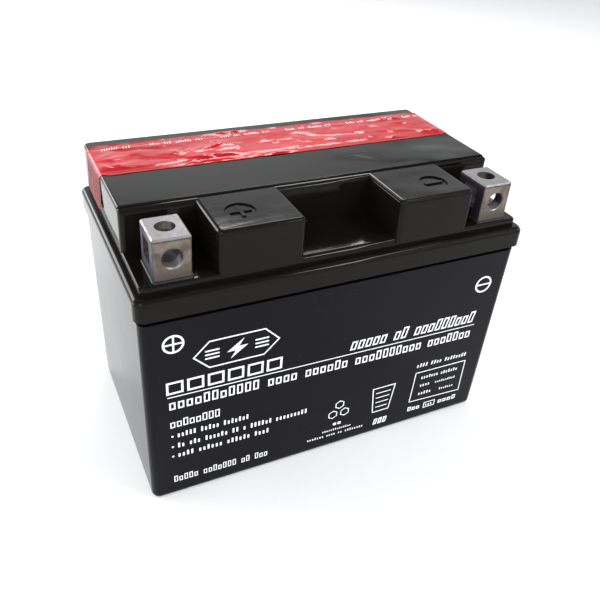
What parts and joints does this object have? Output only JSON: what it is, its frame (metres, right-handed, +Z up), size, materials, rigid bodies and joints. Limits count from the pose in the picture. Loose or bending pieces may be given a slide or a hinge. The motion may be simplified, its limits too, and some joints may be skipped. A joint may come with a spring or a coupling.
{
  "type": "motorcycle battery",
  "caption": "Sealed lead-acid motorcycle battery: black container and cover, square lead terminals at the front corners, and a red foil over the filler trough.",
  "frame": {"origin": "middle of the footprint, on the surface that the battery stands on", "axes": "+Z up; X along the long side with the positive terminal at -X; the terminals are at the front, -Y"},
  "size_m": [0.15, 0.087, 0.1103],
  "materials": {
    "black_container": "gloss",
    "black_cover": "gloss",
    "red_foil": "gloss",
    "terminal_lead": "satin",
    "cast_lead": "matte",
    "seal_resin": "gloss",
    "positive_plate": "matte",
    "negative_plate": "matte",
    "glass_mat": "matte",
    "white_ink": "satin"
  },
  "bodies": {
    "battery": {"container": "black_container", "cover": "black_cover", "terminal_positive": "terminal_lead", "terminal_negative": "terminal_lead", "post_positive": "cast_lead", "post_negative": "cast_lead", "post_seal_positive": "seal_resin", "post_seal_negative": "seal_resin", "positive_plates_1": "positive_plate", "negative_plates_1": "negative_plate", "separators_1": "glass_mat", "positive_strap_1": "cast_lead", "negative_strap_1": "cast_lead", "positive_plates_2": "positive_plate", "negative_plates_2": "negative_plate", "separators_2": "glass_mat", "positive_strap_2": "cast_lead", "negative_strap_2": "cast_lead", "positive_plates_3": "positive_plate", "negative_plates_3": "negative_plate", "separators_3": "glass_mat", "positive_strap_3": "cast_lead", "negative_strap_3": "cast_lead", "positive_plates_4": "positive_plate", "negative_plates_4": "negative_plate", "separators_4": "glass_mat", "positive_strap_4": "cast_lead", "negative_strap_4": "cast_lead", "positive_plates_5": "positive_plate", "negative_plates_5": "negative_plate", "separators_5": "glass_mat", "positive_strap_5": "cast_lead", "negative_strap_5": "cast_lead", "positive_plates_6": "positive_plate", "negative_plates_6": "negative_plate", "separators_6": "glass_mat", "positive_strap_6": "cast_lead", "negative_strap_6": "cast_lead", "cell_weld_1": "cast_lead", "cell_weld_2": "cast_lead", "cell_weld_3": "cast_lead", "cell_weld_4": "cast_lead", "cell_weld_5": "cast_lead"},
    "foil_strip": {"foil_strip": "red_foil"},
    "foil_tab_left": {"foil_tab_left": "red_foil"},
    "foil_tab_right": {"foil_tab_right": "red_foil"}
  },
  "joints": [
    {"name": "foil_lift", "type": "slide", "parent": "battery", "child": "foil_strip", "axis": [0, 0, 1], "range_m": [0, 0.05]},
    {"name": "foil_fold_left", "type": "hinge", "parent": "foil_strip", "child": "foil_tab_left", "pos_m": [-0.07275, 0.0212, 0.1088], "axis": [0, 1, 0], "range_deg": [0, 120]},
    {"name": "foil_fold_right", "type": "hinge", "parent": "foil_strip", "child": "foil_tab_right", "pos_m": [0.07275, 0.0212, 0.1088], "axis": [0, -1, 0], "range_deg": [0, 120]}
  ]
}
